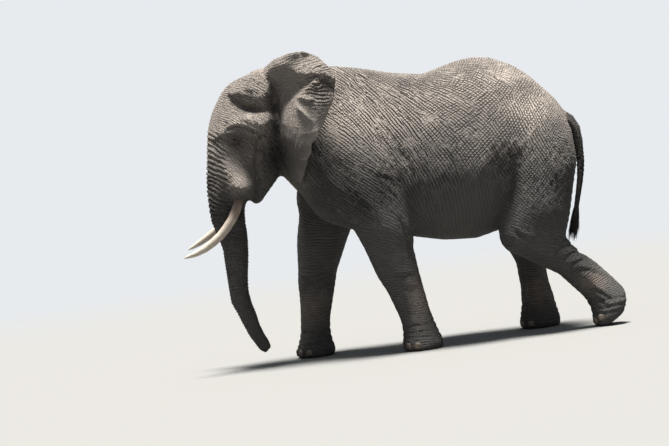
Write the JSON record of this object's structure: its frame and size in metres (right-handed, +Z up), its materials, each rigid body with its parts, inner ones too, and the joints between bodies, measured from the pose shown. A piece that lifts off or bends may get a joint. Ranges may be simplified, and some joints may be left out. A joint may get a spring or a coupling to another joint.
{
  "type": "african bush elephant",
  "caption": "Life-size walking African bush elephant bull with long tusks, ears held back and one hind leg trailing, standing on its own feet.",
  "frame": {"origin": "on the floor, under the middle of the elephant's box", "axes": "+Z up, -Y the way the elephant walks, +X its left side"},
  "size_m": [1.4484, 4.7408, 3.394],
  "materials": {
    "hide": "dry, deeply wrinkled grey-brown skin",
    "ivory": "worn cream ivory, stained at the root",
    "nail": "dull horn",
    "eye": "wet amber-brown eye",
    "hair": "coarse black tail hair"
  },
  "bodies": {
    "root": {"head": "hide", "lower_jaw": "hide", "neck": "hide", "forequarters": "hide", "barrel": "hide", "hindquarters": "hide", "trunk_upper": "hide", "trunk_middle": "hide", "trunk_lower": "hide", "trunk_tip": "hide", "foreleg_left_upper": "hide", "foreleg_left_lower": "hide", "forefoot_left": "hide", "foreleg_right_upper": "hide", "foreleg_right_lower": "hide", "forefoot_right": "hide", "thigh_left": "hide", "shank_left": "hide", "hindfoot_left": "hide", "thigh_right": "hide", "shank_right": "hide", "hindfoot_right": "hide", "ear_left": "hide", "ear_right": "hide", "tail": "hide", "tail_tuft": "hair", "eye_left": "eye", "eye_right": "eye", "tusk_left": "ivory", "tusk_right": "ivory", "nail_forefoot_left_1": "nail", "nail_forefoot_left_2": "nail", "nail_forefoot_left_3": "nail", "nail_forefoot_left_4": "nail", "nail_forefoot_left_5": "nail", "nail_forefoot_right_1": "nail", "nail_forefoot_right_2": "nail", "nail_forefoot_right_3": "nail", "nail_forefoot_right_4": "nail", "nail_forefoot_right_5": "nail", "nail_hindfoot_left_1": "nail", "nail_hindfoot_left_2": "nail", "nail_hindfoot_left_3": "nail", "nail_hindfoot_left_4": "nail", "nail_hindfoot_right_1": "nail", "nail_hindfoot_right_2": "nail", "nail_hindfoot_right_3": "nail", "nail_hindfoot_right_4": "nail"}
  },
  "joints": []
}
